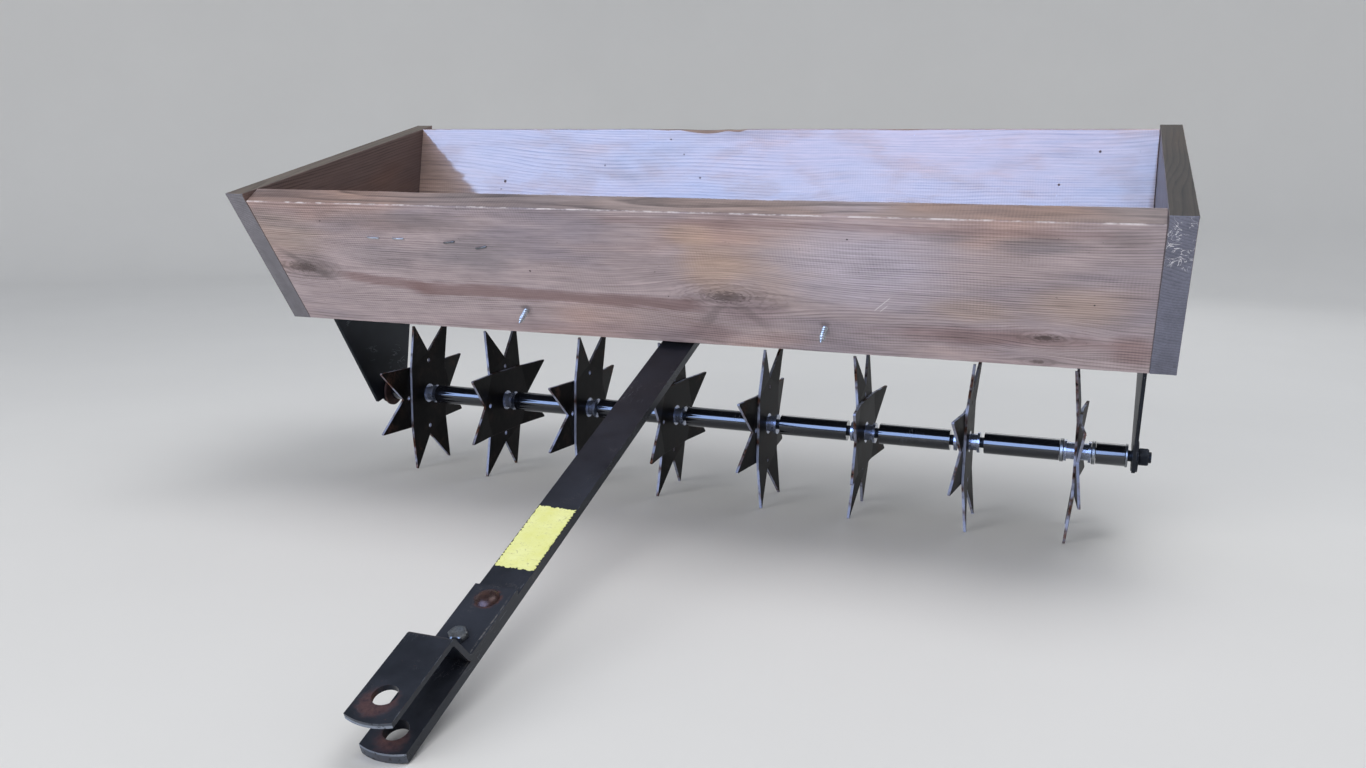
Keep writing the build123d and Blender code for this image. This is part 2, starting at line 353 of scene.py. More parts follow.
def black_steel(name, rust, dust, wear, gloss, wax=0.0, extra=None, seams=False):
    """Gloss black paint, scuffed, with rust where it is chipped.

    wax: a clear gloss over the paint; seams: joints between the tubes at the middle of each bay
    extra: adds the wear that only one piece has
    """
    steel = Finish(name, specular_tint=(0.66, 0.78, 1.0), specular_ior_level=0.32, coat_weight=wax,
                   coat_ior=1.75, coat_roughness=0.08, coat_tint=(0.97, 0.98, 1.0))
    edge = steel.edges(0.0012)
    cloud = steel.noise(26, 5, 0.62)
    speck = steel.noise(230, 4, 0.62)
    fine = steel.noise((40, 900, 900), 3, 0.5, distortion=0.4)
    scratch = (steel.noise((150, 18, 60), 3, 0.5, distortion=1.2) - 0.5).size().rise(0.007, 0.002)
    scratch = scratch * steel.noise(19, 3).rise(0.54, 0.64)
    upward = steel.facing(level, 2).rise(0.2, 0.9) * 0.85 + 0.15
    film = upward * (steel.noise(11, 5, 0.68).rise(0.34, 0.70) + 0.15) * dust
    spots = speck.rise(0.70 - rust * 0.05, 0.77) * cloud.rise(0.53, 0.64)
    rusty = (edge * speck.rise(0.50, 0.62) * wear).most(spots)
    bare = edge * steel.noise(80, 4).rise(0.56, 0.66) * wear * 0.7
    colour = steel.mix(cloud.rise(0.3, 0.7), (0.0045, 0.0050, 0.0075), (0.0100, 0.0112, 0.0160))
    colour = steel.mix(film, colour, (0.050, 0.054, 0.070))
    colour = steel.mix(scratch * 0.60, colour, (0.19, 0.20, 0.23))
    if extra:
        colour, rusty, bare = extra(steel, colour, rusty, bare, speck, cloud)
    rust_tone = steel.ramp(speck, (0.3, (0.032, 0.015, 0.012)), (0.8, (0.125, 0.056, 0.040)))
    colour = steel.mix(rusty, colour, rust_tone)
    colour = steel.mix(bare, colour, (0.34, 0.38, 0.46))
    if seams:
        middle = ((steel.along(axle_line, 2) - LAST_WHEEL_X) / WHEEL_PITCH).fraction() - 0.5
        seam = middle.size().rise(0.0055, 0.0030)
        colour = steel.mix(seam * 0.8, colour, (0.002, 0.002, 0.003))
        cloud = cloud - seam * 2.5
    roughness = rusty * 0.45 + film * 0.5 + cloud * 0.10 + fine * 0.05 + gloss
    steel.set(base_color=colour, roughness=roughness, metallic=bare * 0.8)
    steel.bump(cloud * 0.5 + speck * 0.08 + rusty * speck * 0.8 - scratch * 0.3, 0.0004, 0.30)
    return steel.material


def hitch_wear(steel, colour, rusty, bare, speck, cloud):
    """Rust round the pin hole and the carriage bolt, noses worn bright at their arrises with a painted
    pale blue sky reflection across their faces, and scuffs.
    """
    a, across = steel.along(tongue_top, 0), steel.along(tongue_top, 1)
    da = a - (PIN_AT + 0.007)
    reach = (da * da + across * across) ** 0.5 + (cloud - 0.5) * 0.022 + (speck - 0.5) * 0.014
    rusty = rusty.most(reach.rise(0.0175, 0.0100) * 0.85)
    db = a - CARRIAGE_BOLT_AT
    seat = (db * db + across * across) ** 0.5 + (cloud - 0.5) * 0.006
    rusty = rusty.most(seat.rise(0.0135, 0.0105) * speck.rise(0.36, 0.52) * 0.9)
    height = steel.along(tongue_top, 2)
    lower_arris = (height + 0.0009).size().rise(0.0014, 0.0006)
    arris = lower_arris.most((height - 0.0303).size().rise(0.0018, 0.0008))
    # The noses' front faces take the bare steel's pale blue: worn bare at the arrises, and a painted sky
    # reflection over the rest of each face
    nose_wear_and_sheen = steel.facing(tongue_top, 0).rise(0.45, 0.7) * a.rise(NOSE_FROM, NOSE_FROM + 0.01)
    nose_wear_and_sheen = nose_wear_and_sheen * (arris * 0.8 + 0.25) * speck.rise(0.32, 0.46)
    side = across - 0.0178 - (cloud - 0.5) * 0.004
    along_foot = a.rise(0.372, 0.40) * a.rise(0.475, 0.43)
    rub = side.size().rise(0.0009, 0.0003) * along_foot * speck.rise(0.40, 0.55)
    colour = steel.mix(rub * 0.6, colour, (0.22, 0.21, 0.20))
    scuff = (steel.noise((60, 60, 60), 4, 0.6, distortion=1.5) - 0.5).size().rise(0.012, 0.003)
    colour = steel.mix(scuff * steel.noise(24, 3).rise(0.56, 0.66) * 0.35, colour, (0.12, 0.11, 0.11))
    return colour, rusty, bare.most(nose_wear_and_sheen * 0.8)


def worn_wheel():
    """Thinly painted plate that the soil has scoured, round a glossy flanged hub rubbed bare, whose pale
    blue is a painted sky reflection.
    """
    plate = Finish("scoured_wheel_steel", specular_tint=(0.70, 0.80, 1.0), specular_ior_level=0.04,
                   coat_ior=1.75, coat_roughness=0.10)
    out, up = plate.along(axle_line, 0), plate.along(axle_line, 1)
    from_axle = (out * out + up * up) ** 0.5
    hub = from_axle.rise(FLANGE_RADIUS + 0.0007, FLANGE_RADIUS + 0.0003)
    tip = from_axle.rise(0.060, 0.105)
    edge = plate.edges(0.0014)
    rim = plate.facing(axle_line, 2).size().rise(0.75, 0.45) * (1 - hub)
    cloud = plate.noise(32, 5, 0.62)
    speck = plate.noise(270, 4, 0.6)
    rusty = edge * 0.55 + cloud.rise(0.52, 0.72) * (tip * 0.50 + 0.08) + rim * (0.45 + tip * 0.6)
    rusty = rusty * speck.rise(0.34, 0.54) * (1 - hub * 0.9)
    rubbed_and_sheen = plate.noise(90, 3).rise(0.30, 0.55) * 0.5 + 0.5
    bare = (edge * 0.20 + rim * 0.85) * plate.noise(45, 3).rise(0.36, 0.58) * (1 - hub)
    soil = plate.noise(60, 6, 0.7).rise(0.56, 0.72) * (tip * 0.40 + 0.05) * (1 - hub)
    colour = plate.mix(cloud.rise(0.3, 0.7), (0.0050, 0.0044, 0.0045), (0.0125, 0.0105, 0.0100))
    colour = plate.mix(soil, colour, (0.095, 0.074, 0.058))
    rust_tone = plate.ramp(speck, (0.3, (0.070, 0.032, 0.024)), (0.8, (0.215, 0.105, 0.075)))
    colour = plate.mix(rusty, colour, rust_tone)
    colour = plate.mix(bare, colour, (0.42, 0.45, 0.56))
    # The hub is rubbed bare steel; its pale blue colour is a painted sky reflection
    colour = plate.mix(hub * rubbed_and_sheen * 0.75, colour, (0.40, 0.46, 0.64))
    plate.set(base_color=colour, roughness=rusty * 0.25 + soil * 0.3 + cloud * 0.12 + 0.36 - hub * 0.16,
              metallic=bare * 0.6 + hub * rubbed_and_sheen * 0.7, coat_weight=hub)
    plate.bump(speck * 0.5 + cloud * 0.5, 0.0004, 0.4)
    return plate.material


def rusted(name, deep=0.5, gloss=0.42, shade=1.0):
    """Brown rust, deep or worn to the metal at its edges."""
    rust = Finish(name, specular_tint=(1.0, 0.86, 0.90))
    cloud = rust.noise(110, 6, 0.68)
    speck = rust.noise(700, 4, 0.6)
    edge = rust.edges(0.001)
    colour = rust.ramp(cloud, (0.3, (0.030, 0.016, 0.014)), (0.75, (0.125, 0.060, 0.044)),
                       (0.52, (0.068, 0.033, 0.027)))
    colour = rust.mix(edge * speck.rise(0.4, 0.6) * (1 - deep) * 0.8, colour, (0.34, 0.28, 0.28))
    rust.set(base_color=rust.scaled(colour, shade), roughness=cloud * 0.25 + gloss + deep * 0.12,
             metallic=0.5 - deep * 0.4)
    rust.bump(cloud + speck * 0.6, 0.0004, 0.5)
    return rust.material


def zinc(name, grime, shine):
    """Zinc plating, dulled by grime in its specks."""
    plated = Finish(name, metallic=0.9)
    cloud = plated.noise(160, 5, 0.6)
    speck = plated.noise(900, 3)
    colour = plated.mix(cloud.rise(0.35, 0.7), (0.34, 0.36, 0.38), (0.58, 0.60, 0.62))
    colour = plated.mix(speck.rise(0.56, 0.70) * grime, colour, (0.14, 0.12, 0.10))
    plated.set(base_color=plated.scaled(colour, shine), roughness=cloud * 0.25 + 0.24)
    plated.bump(speck, 0.0002, 0.3)
    return plated.material


def yellow_decal():
    """Faded yellow plastic film, scuffed and left blank."""
    film = Finish("faded_yellow_film", specular_ior_level=0.4)
    cloud = film.noise(60, 5, 0.6)
    speck = film.noise(500, 3)
    scuff = (film.noise((30, 90, 60), 3, 0.5, distortion=1.2) - 0.5).size().rise(0.012, 0.004)
    scuff = scuff * cloud.rise(0.46, 0.6)
    colour = film.mix(cloud.rise(0.3, 0.75), (0.83, 0.85, 0.31), (0.91, 0.94, 0.47))
    colour = film.mix(speck.rise(0.60, 0.72) * 0.30, colour, (0.30, 0.28, 0.10))
    colour = film.mix(scuff * 0.45, colour, (0.30, 0.29, 0.12))
    film.set(base_color=colour, roughness=cloud * 0.2 + 0.32)
    film.bump(cloud, 0.0002, 0.3)
    return film.material


DARK_RED, GOLD, TAN = (0.225, 0.135, 0.130), (0.56, 0.39, 0.29), (0.47, 0.35, 0.285)
SMOKE, MAUVE, PALE = (0.130, 0.105, 0.104), (0.26, 0.185, 0.20), (0.82, 0.79, 0.80)
# The lavender colour is a painted sky reflection, the sheen of the damp front face
SLATE, PAINTED_SKY_SHEEN = (0.170, 0.165, 0.190), (0.50, 0.46, 0.56)
# Each board's tones for its inner face, edges and sawn ends are painted light and shade for where that
# face sits; the bluish ends carry a painted sky reflection
wood_front = board_wood(
    "front_board_wood", front_face, (-0.09, -0.055), 0.0,
    ((0.402, 0.328, 0.342), (0.11, 0.075, 0.068), (0.265, 0.212, 0.202), (0.20, 0.175, 0.18)),
    knots=((0.574, 0.0725, 0.0095), (0.0316, 0.0857, 0.0085), (0.9015, 0.0400, 0.0050),
           (0.8946, 0.0064, 0.0030)),
    clouds=((0.030, 0.140, 0.070, 0.045, 0.35, (0.33, 0.275, 0.22)),
            (0.568, 0.1125, 0.050, 0.040, 0.55, GOLD), (0.5485, 0.155, 0.034, 0.022, 0.45, GOLD),
            # The lavender cloud at 0.725 along is a painted sky reflection on the damp face
            (0.645, 0.110, 0.090, 0.060, 0.40, TAN), (0.725, 0.120, 0.120, 0.070, 0.72, PAINTED_SKY_SHEEN),
            (0.932, 0.083, 0.060, 0.030, 0.55, TAN), (0.829, 0.071, 0.050, 0.020, 0.45, TAN),
            (0.595, 0.052, 0.055, 0.026, 0.50, MAUVE), (0.545, 0.020, 0.045, 0.016, 0.40, DARK_RED),
            (0.050, 0.088, 0.052, 0.024, 0.45, SMOKE), (0.200, 0.160, 0.150, 0.018, 0.45, SMOKE),
            (0.276, 0.116, 0.080, 0.036, 0.50, SLATE), (0.150, 0.110, 0.060, 0.030, 0.25, SLATE),
            (0.889, 0.155, 0.050, 0.013, 0.50, SLATE), (0.967, 0.168, 0.034, 0.014, 0.45, SMOKE),
            (0.810, 0.163, 0.034, 0.010, 0.40, SLATE), (0.850, 0.037, 0.150, 0.016, 0.62, DARK_RED),
            (0.984, 0.030, 0.032, 0.026, 0.60, DARK_RED), (0.410, 0.012, 0.260, 0.016, 0.35, MAUVE),
            (0.3225, 0.040, 0.009, 0.005, 0.60, SMOKE), (0.6775, 0.041, 0.009, 0.006, 0.60, SMOKE)),
    strokes=((0.080, 0.0760, 0.210, 0.0620, 0.0110, 0.62, DARK_RED),
             (0.170, 0.0625, 0.550, 0.0585, 0.0130, 0.70, DARK_RED),
             (0.450, 0.172, 0.960, 0.170, 0.0070, 0.30, DARK_RED),
             (0.006, 0.115, 0.074, 0.066, 0.0085, 0.45, SMOKE),
             (0.536, 0.026, 0.572, 0.066, 0.0110, 0.38, SMOKE),
             (0.576, 0.068, 0.618, 0.030, 0.0120, 0.34, SMOKE),
             (0.732, 0.064, 0.7495, 0.0825, 0.0010, 0.60, PALE),
             (0.7375, 0.063, 0.7465, 0.072, 0.0009, 0.55, PALE)),
    dots=((0.3457, 0.0963, 0.0016), (0.0915, 0.158, 0.0012), (0.5065, 0.0690, 0.0012),
          (0.9445, 0.0860, 0.0013), (0.7120, 0.1560, 0.0015)),
    wet=(0.12, 0.5), pale_arris=0.75)
wood_back = board_wood(
    "back_board_wood", back_face, (0.015, 0.065), 5.3,
    ((0.300, 0.245, 0.235), (0.310, 0.214, 0.176), (0.20, 0.150, 0.125), (0.20, 0.18, 0.18)),
    knots=((0.330, 0.075, 0.0060), (0.760, 0.030, 0.0050)),
    clouds=((0.640, 0.150, 0.060, 0.040, 0.30, SLATE), (0.930, 0.080, 0.080, 0.090, 0.40, TAN)),
    dots=((0.8583, 0.110, 0.0026), (0.8640, 0.099, 0.0014), (0.7048, 0.134, 0.0013),
          (0.5650, 0.119, 0.0016), (0.5900, 0.150, 0.0012), (0.0640, 0.157, 0.0016),
          (0.1080, 0.117, 0.0016), (0.6100, 0.170, 0.0014)),
    wet=(0.15, 1.0), contrast=1.05)
wood_left = board_wood(
    "left_board_wood", left_face, (-0.05, 0.08), 9.1,
    ((0.270, 0.220, 0.200), (0.135, 0.088, 0.078), (0.150, 0.122, 0.098), (0.225, 0.215, 0.238)),
    knots=((0.290, 0.070, 0.0070),), wet=(0.10, 0.25), contrast=0.7)
wood_right = board_wood(
    "right_board_wood", right_face, (0.30, 0.05), 13.7,
    ((0.240, 0.200, 0.190), (0.105, 0.085, 0.095), (0.042, 0.033, 0.025), (0.185, 0.190, 0.250)),
    knots=((0.130, 0.100, 0.0060),), wet=(0.10, 0.35), chalk=(-0.0125, 0.150, 0.024))
paint_tray = black_steel("tray_paint", rust=0.7, dust=0.5, wear=0.6, gloss=0.28)
paint_plate = black_steel("end_plate_paint", rust=0.4, dust=0.15, wear=0.22, gloss=0.36)
paint_tongue = black_steel("tongue_paint", rust=0.7, dust=0.36, wear=0.6, gloss=0.20, extra=hitch_wear)
paint_tube = black_steel("tube_paint", rust=0.2, dust=0.08, wear=0.4, gloss=0.08, wax=0.95, seams=True)
rubbed_steel = zinc("rubbed_ring_steel", grime=0.35, shine=0.80)
wheel_finish = worn_wheel()
rust_washer = rusted("rusty_washer_steel")
rust_bolt = rusted("rusty_bolt_steel", deep=0.35, gloss=0.12, shade=0.62)
dark_nut = black_steel("blackened_nut_steel", rust=1.2, dust=0.5, wear=0.9, gloss=0.34)
zinc_bolt = zinc("dull_zinc", grime=0.9, shine=0.42)
bright_zinc = zinc("bright_zinc", grime=0.25, shine=1.20)
film_yellow = yellow_decal()


# ---------------------------------------------------------------- making pieces
SHARP_ANGLE = math.radians(35)


def piece(name, mesh, finish, place, body="frame"):
    """Seats a mesh in the stored frame and hangs it on its body."""
    made = bpy.data.objects.new(name, mesh)
    bpy.context.scene.collection.objects.link(made)
    mesh.transform(place)
    mesh.materials.clear()
    mesh.materials.append(finish)
    mesh.shade_smooth()
    mesh.set_sharp_from_angle(angle=SHARP_ANGLE)
    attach(made, body)
    return made


def mesh_of(bm, name):
    """Turns every face outward and hands the mesh over."""
    bmesh.ops.recalc_face_normals(bm, faces=bm.faces)
    mesh = bpy.data.meshes.new(name)
    bm.to_mesh(mesh)
    bm.free()
    return mesh


def turned(name, profile, steps, radius_of=None):
    """Revolves (radius, height) points round Z. radius_of(angle, radius) may change the round."""
    bm = bmesh.new()
    rings = []
    for radius, height in profile:
        if radius == 0:
            rings.append([bm.verts.new((0, 0, height))])
            continue
        ring = []
        for i in range(steps):
            angle = math.tau * i / steps
            r = radius_of(angle, radius) if radius_of else radius
            ring.append(bm.verts.new((r * math.cos(angle), r * math.sin(angle), height)))
        rings.append(ring)
    for low, high in zip(rings, rings[1:]):
        for i in range(max(len(low), len(high))):
            j = (i + 1) % steps
            corners = [low[i % len(low)], low[j % len(low)], high[j % len(high)], high[i % len(high)]]
            bm.faces.new([c for n, c in enumerate(corners) if c not in corners[:n]])
    bmesh.ops.remove_doubles(bm, verts=bm.verts, dist=0.000001)
    return mesh_of(bm, name)


def hexagon(across):
    """A hexagon's radius at an angle, capped by the chamfer circle."""
    def reach(angle, radius):
        corner = across / 2 / math.cos((angle + math.pi / 6) % (math.pi / 3) - math.pi / 6)
        return min(corner, radius)
    return reach


def hex_nut(name, across, height, bore):
    cut = across * 0.575
    profile = [(bore, 0), (across * 0.47, 0), (cut, across * 0.05), (cut, height - across * 0.07),
               (across * 0.47, height), (bore * 1.12, height), (bore, height - bore * 0.12), (bore, 0)]
    flats = hexagon(across)
    return turned(name, profile, 72, lambda angle, r: flats(angle, r) if r > bore * 1.2 else r)


def hex_head(name, across, height):
    """A bolt's head: flat washer face below, chamfered corners, and a shallow dished top."""
    cut = across * 0.575
    profile = [(0, 0), (across * 0.48, 0), (across * 0.48, height * 0.08), (cut, height * 0.12),
               (cut, height * 0.84), (across * 0.47, height), (across * 0.30, height),
               (across * 0.24, height * 0.93), (0, height * 0.93)]
    flats = hexagon(across)
    return turned(name, profile, 72, lambda angle, r: flats(angle, r) if r > across * 0.5 else r)


def washer(name, inner, outer, thick, edge=0.0005):
    profile = [(inner, 0), (outer - edge, 0), (outer, edge), (outer, thick - edge),
               (outer - edge, thick), (inner + edge, thick), (inner, thick - edge), (inner, 0)]
    return turned(name, profile, 64)


def threaded(name, radius, lead, length, depth, tip=0.0, point=0.0):
    """A rod with a helical thread along Z, drawn to a point over the length named tip."""
    bm = bmesh.new()
    steps, rows = 28, max(8, int(length / lead * 8))
    rings = []
    for j in range(rows + 1):
        z = length * j / rows
        near_tip = 1.0 if tip == 0 else min(1.0, max((length - z) / tip, 0.0))
        scale = point + (1 - point) * near_tip ** 0.8
        ring = []
        for i in range(steps):
            angle = math.tau * i / steps
            phase = (z / lead - i / steps) % 1.0
            crest = max(0.0, 1 - abs(phase - 0.5) * 4.4)
            r = max((radius - depth * (1 - crest)) * scale, 0.00012)
            ring.append(bm.verts.new((r * math.cos(angle), r * math.sin(angle), z)))
        rings.append(ring)
    for low, high in zip(rings, rings[1:]):
        for i in range(steps):
            j = (i + 1) % steps
            bm.faces.new((low[i], low[j], high[j], high[i]))
    bm.faces.new(rings[0][::-1])
    bm.faces.new(rings[-1])
    return mesh_of(bm, name)


def joined(name, *meshes):
    """Several meshes as one."""
    bm = bmesh.new()
    for mesh in meshes:
        bm.from_mesh(mesh)
    return mesh_of(bm, name)


# ---------------------------------------------------------------- weight box boards
ARRIS, END_ARRIS, END_INSET = 0.0011, 0.0007, 0.0006
GRAIN_DEPTH, GRAIN_SWING = 0.00020, 0.00016


def rounded(corner, run, inward, radius, angle):
    """A point on the round of a board's arris."""
    return corner + run * radius * (1 - math.cos(angle)) + inward * radius * (1 - math.sin(angle))


def plank(name, length, width, point, seed, cells, chips):
    """A board with worn arrises and raised grain. point(along, across, through) seats it."""
    along_cells, width_cells, thick_cells = cells

    def worn_radius(u, corner):
        grain = noise.noise(Vector((u * 9, corner * 7.3, seed)))
        nick = noise.noise(Vector((u * 85, corner * 5.1, seed + 9)))
        worn = ARRIS * (1 + 0.35 * grain + 0.45 * nick)
        for at, reach, which, depth in chips:
            if which == corner:
                worn += depth * max(0.0, 1 - ((u - at) / reach) ** 2)
        return max(worn, 0.0005)

    def section(u, inset):
        """Points round the board, each pressed in a little by the grain."""
        loop = []
        far_w, far_t = width - inset, BOARD_THICK - inset
        corners = [Vector(c) for c in ((inset, inset), (far_w, inset), (far_w, far_t), (inset, far_t))]
        for side in range(4):
            start, stop = corners[side], corners[(side + 1) % 4]
            count = thick_cells if side % 2 else width_cells
            turn_in, turn_out = worn_radius(u, side), worn_radius(u, (side + 1) % 4)
            span, run = (stop - start).length, (stop - start).normalized()
            inward = Vector((-run.y, run.x))
            for step in range(4):
                angle = math.pi / 4 + math.pi / 4 * step / 3
                loop.append(rounded(start, run, inward, turn_in, angle))
            for step in range(1, count):
                place = start + run * (turn_in + (span - turn_in - turn_out) * step / count)
                groove = noise.noise(Vector((u * 6, place.x * 620 + place.y * 300, seed)))
                swell = noise.noise(Vector((u * 2.5, place.x * 14, seed + 4)))
                loop.append(place + inward * max(GRAIN_DEPTH + GRAIN_SWING * (groove + swell), 0.00003))
            for step in range(3):
                angle = math.pi / 2 - math.pi / 4 * step / 3
                loop.append(rounded(stop, -run, inward, turn_out, angle))
        return loop

    bm = bmesh.new()
    inner_stations = [length * i / along_cells for i in range(1, along_cells)]
    stations = [0.0, END_ARRIS] + inner_stations + [length - END_ARRIS, length]
    rings = []
    for i, u in enumerate(stations):
        inset = END_INSET if i in (0, len(stations) - 1) else 0.0
        rings.append([bm.verts.new(point(u, p.x, p.y)) for p in section(u, inset)])
    for low, high in zip(rings, rings[1:]):
        for i in range(len(low)):
            j = (i + 1) % len(low)
            bm.faces.new((low[i], low[j], high[j], high[i]))
    bm.faces.new(rings[0][::-1])
    bm.faces.new(rings[-1])
    return mesh_of(bm, name)


def leaning(u, across, through):
    """The front and back boards lie straight in their faces' frames."""
    return (u, across, -through)


def end_shape(u, across, through):
    """The end boards are sawn to the front and back boards' lean."""
    spread = across * math.tan(LEAN)
    low, high = RUN - spread, BOX_DEPTH - RUN + spread
    return (low + (high - low) * u / BOX_DEPTH, across, -through)


INNER = BOX_LENGTH - 2 * BOARD_THICK
# Chips in a board's arrises: (along, reach, which arris, depth)
FRONT_CHIPS = ((0.19, 0.012, 1, 0.0014), (0.37, 0.020, 1, 0.0011), (0.545, 0.008, 1, 0.0018),
               (0.62, 0.05, 2, 0.0012), (0.235, 0.05, 2, 0.0013), (0.71, 0.03, 1, 0.0009),
               (0.86, 0.010, 1, 0.0013))
BACK_CHIPS = ((0.560, 0.034, 2, 0.0065), (0.518, 0.014, 2, 0.0040), (0.610, 0.030, 2, 0.0015),
              (0.300, 0.030, 2, 0.0010))
BOARDS = (
    ("front", INNER, BOARD_WIDTH, leaning, 1.0, (300, 56, 8), FRONT_CHIPS, wood_front, front_face),
    ("back", INNER, BOARD_WIDTH, leaning, 2.0, (260, 50, 8), BACK_CHIPS, wood_back, back_face),
    ("left", BOX_DEPTH, BOX_HEIGHT, end_shape, 3.0, (100, 50, 8), (), wood_left, left_face),
    ("right", BOX_DEPTH, BOX_HEIGHT, end_shape, 4.0, (100, 50, 8), (), wood_right, right_face))
for side, length, width, shape, seed, cells, chips, finish, face in BOARDS:
    board, node = f"{side}_board", f"box_{side}_board"
    mesh = plank(board, length, width, shape, seed, cells, chips)
    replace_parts(piece(board, mesh, finish, face), node)


# ---------------------------------------------------------------- steel that keeps its solid
def dress(node, finish, bevel):
    """Gives a carried solid its finish and rounds its sharp edges."""
    carried = bpy.data.objects[node]
    carried.data.materials.clear()
    carried.data.materials.append(finish)
    rounding = carried.modifiers.new("worn_edges", "BEVEL")
    rounding.width, rounding.segments = bevel, 2
    rounding.limit_method, rounding.angle_limit = "ANGLE", math.radians(40)
    rounding.harden_normals = True


for node, finish, bevel in (("tray", paint_tray, 0.0004), ("left_end_plate", paint_plate, 0.0006),
                            ("right_end_plate", paint_plate, 0.0006), ("tongue", paint_tongue, 0.0008),
                            ("hitch_strap", paint_tongue, 0.0007), ("spacers", paint_tube, 0.0006),
                            ("axle", dark_nut, 0.0005)):
    dress(node, finish, bevel)
for k in range(8):
    dress(f"wheel_{k + 1}", wheel_finish, 0.0004)


# ---------------------------------------------------------------- screws and staples in the boards
def cross_recess(limit):
    """Rings nearer the middle than the limit swell into the four lobes of a driver's recess."""
    return lambda angle, r: r * (1 + 0.45 * math.cos(4 * angle)) if r < limit else r


def pan_screw(name):
    """A wood screw with its head at Z = 0 and its point up along Z."""
    head = [(0.0026, 0), (0.0047, 0), (0.0047, -0.0006), (0.0042, -0.0020), (0.0032, -0.0028),
            (0.0020, -0.0031), (0.0016, -0.0031), (0.0010, -0.0016), (0, -0.0014)]
    shank = threaded("shank", radius=0.0035, lead=0.0033, length=0.0500, depth=0.0012,
                     tip=0.006, point=0.22)
    return joined(name, shank, turned("head", head, 48, cross_recess(0.0018)))


for side, face in (("front", front_face), ("back", back_face)):
    for hand, x_at in zip(("left", "right"), SCREWS_ALONG):
        seat = face @ Matrix.Translation((x_at, SCREW_UP, -BOARD_THICK - TRAY_SHEET))
        piece(f"{side}_{hand}_screw", pan_screw("screw"), bright_zinc, seat)

flush_head = [(0, -0.004), (0.0020, -0.004), (0.0040, -0.0004), (0.0041, 0.0), (0.0026, 0.0001),
              (0.0020, 0.0), (0.0012, -0.0014), (0, -0.0016)]
END_SCREWS = ((0, 0.035), (0, 0.135), (1, 0.035), (1, 0.135))  # which leaning edge they follow, and up
SCREW_FROM_EDGE, SCREW_SUNK = 0.0135, 0.0003
for side, face in (("left", left_face), ("right", right_face)):
    for n, (edge, up) in enumerate(END_SCREWS):
        lean_in = RUN - up * math.tan(LEAN) + SCREW_FROM_EDGE
        seat = face @ Matrix.Translation((BOX_DEPTH - lean_in if edge else lean_in, up, -SCREW_SUNK))
        head = turned("head", flush_head, 48, cross_recess(0.0023))
        piece(f"{side}_board_screw_{n + 1}", head, dark_nut, seat)


def staple():
    """The flattened wire crown of a staple, with both legs turned into the board."""
    half, wire, stand, sunk, steps = 0.0069, 0.0010, 0.0010, 0.0012, 10
    bm = bmesh.new()
    path = [(-half, -sunk), (-half, stand * 0.5), (-half + 0.0006, stand),
            (half - 0.0006, stand), (half, stand * 0.5), (half, -sunk)]
    rings = []
    for x, z in path:
        on_leg = abs(x) > half - 0.0003
        ring = []
        for i in range(steps):
            angle = math.tau * i / steps
            dx, dz = (math.cos(angle) * wire, 0) if on_leg else (0, math.cos(angle) * wire * 0.6)
            ring.append(bm.verts.new((x + dx * (1 if x > 0 else -1), math.sin(angle) * wire, z + dz)))
        rings.append(ring)
    for low, high in zip(rings, rings[1:]):
        for i in range(steps):
            j = (i + 1) % steps
            bm.faces.new((low[i], low[j], high[j], high[i]))
    bm.faces.new(rings[0])
    bm.faces.new(rings[-1])
    return mesh_of(bm, "staple")


STAPLES = ((0.1552, 0.1362, -2, bright_zinc), (0.1890, 0.1363, 1, bright_zinc),
           (0.2553, 0.1338, 10, zinc_bolt), (0.2942, 0.1277, 14, zinc_bolt))
for n, (x_at, up, turn, finish) in enumerate(STAPLES):
    seat = front_face @ Matrix.Translation((x_at, up, 0)) @ Matrix.Rotation(math.radians(turn), 4, "Z")
    piece(f"front_staple_{n + 1}", staple(), finish, seat)

# ---------------------------------------------------------------- hitch bolts
strap_top = tongue_top @ Matrix.Translation((0, 0, STRAP_THICK))
dome = [(0, 0), (0.0103, 0), (0.0104, 0.0004), (0.0100, 0.0010), (0.0086, 0.0024), (0.0062, 0.0038),
        (0.0032, 0.0046), (0, 0.0048)]
piece("carriage_bolt", turned("carriage_bolt", dome, 56), rust_bolt,
      strap_top @ Matrix.Translation((CARRIAGE_BOLT_AT, 0, 0)))
piece("hitch_bolt_head", hex_head("hitch_bolt_head", HEX_ACROSS, height=0.0060), zinc_bolt,
      strap_top @ Matrix.Translation((HEX_BOLT_AT, 0, 0)) @ Matrix.Rotation(0.2, 4, "Z"))


def nut_below(name, turn):
    """A washer, a nut and the bolt's end, drawn with the bolt coming up along Z."""
    washer_thick = 0.0016
    nut = hex_nut("nut", HEX_ACROSS, height=0.0062, bore=BOLT_RADIUS)
    nut.transform(Matrix.Translation((0, 0, washer_thick)) @ Matrix.Rotation(turn, 4, "Z"))
    ring = washer("washer", BOLT_RADIUS + 0.0002, outer=0.0088, thick=washer_thick)
    return joined(name, ring, nut, threaded("end", BOLT_RADIUS, THREAD_LEAD, length=0.0105, depth=0.0005))


under = tongue_top @ Matrix.Translation((0, 0, -BAR_THICK)) @ Matrix.Rotation(math.pi, 4, "X")
for name, a, turn in (("carriage_bolt_nut", CARRIAGE_BOLT_AT, 0.3),
                      ("hitch_bolt_nut", HEX_BOLT_AT, 0.8)):
    piece(name, nut_below(name, turn), zinc_bolt, under @ Matrix.Translation((a, 0, 0)))
below_tray = (tray_floor @ Matrix.Translation((0, 0, -TRAY_SHEET - BAR_THICK))
              @ Matrix.Rotation(math.pi, 4, "X"))
for n, y in enumerate(TRAY_BOLTS_AT):
    piece(f"tray_bolt_{n + 1}", turned("tray_bolt", dome, 56), rust_bolt,
          tray_floor @ Matrix.Translation((y, 0, 0)))
    piece(f"tray_bolt_nut_{n + 1}", nut_below("tray_bolt_nut", 0.5 + n), dark_nut,
          below_tray @ Matrix.Translation((y, 0, 0)))


